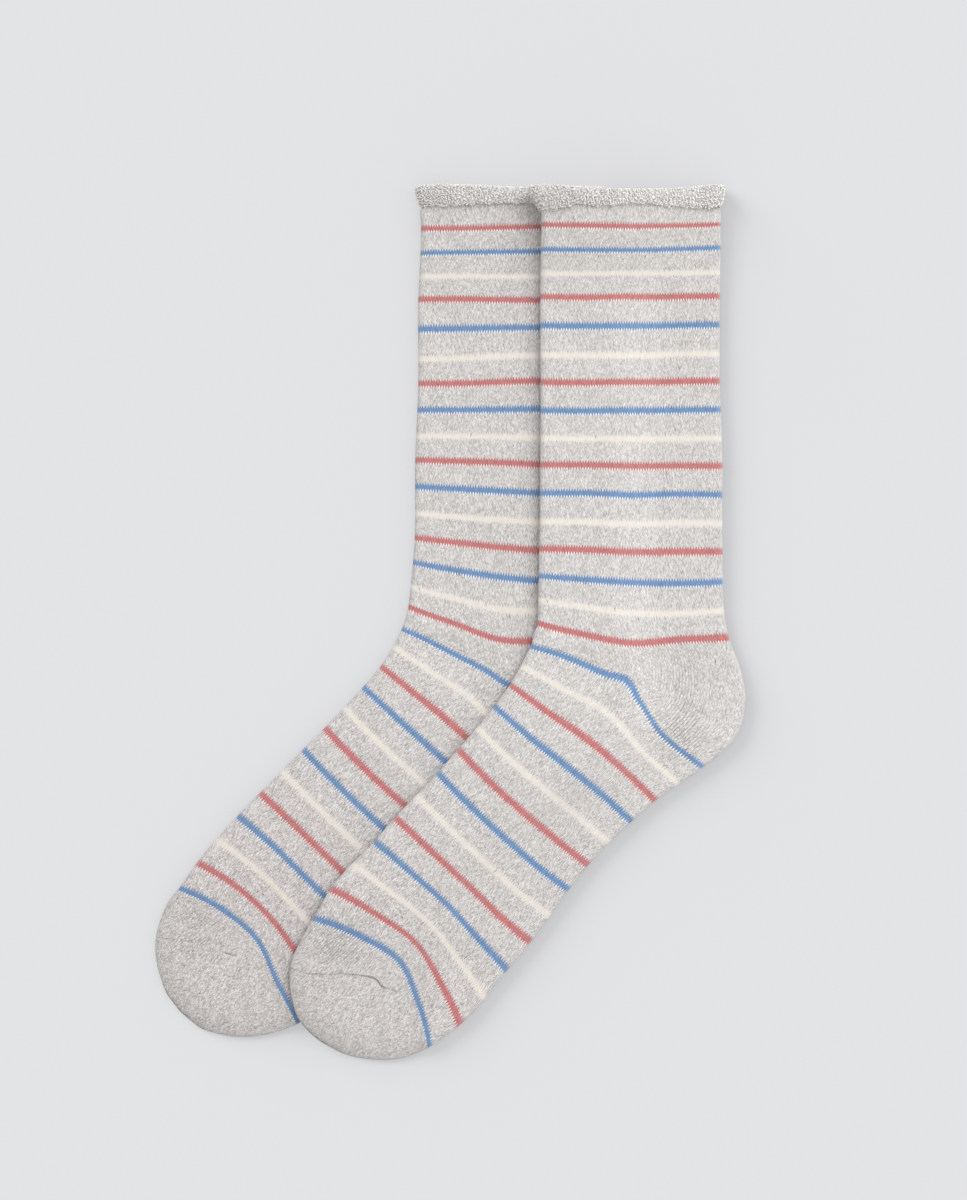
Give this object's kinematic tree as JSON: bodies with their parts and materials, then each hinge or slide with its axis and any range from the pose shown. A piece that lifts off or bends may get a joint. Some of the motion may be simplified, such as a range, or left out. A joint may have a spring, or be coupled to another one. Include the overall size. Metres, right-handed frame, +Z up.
{
  "type": "pair of socks",
  "caption": "Striped terry crew socks with a rolled edge, laid flat with one sock partly over the other.",
  "frame": {"origin": "on the table, under the middle of the pair's footprint", "axes": "+Y along the legs towards the cuffs, +X from the shin side to the heel side, +Z up from the table"},
  "size_m": [0.2484, 0.3684, 0.0215],
  "materials": {
    "sock_knit": "light grey marl terry knit with thin red, blue and cream stripes"
  },
  "bodies": {
    "root": {"top_sock": "sock_knit", "under_sock": "sock_knit"}
  },
  "joints": []
}
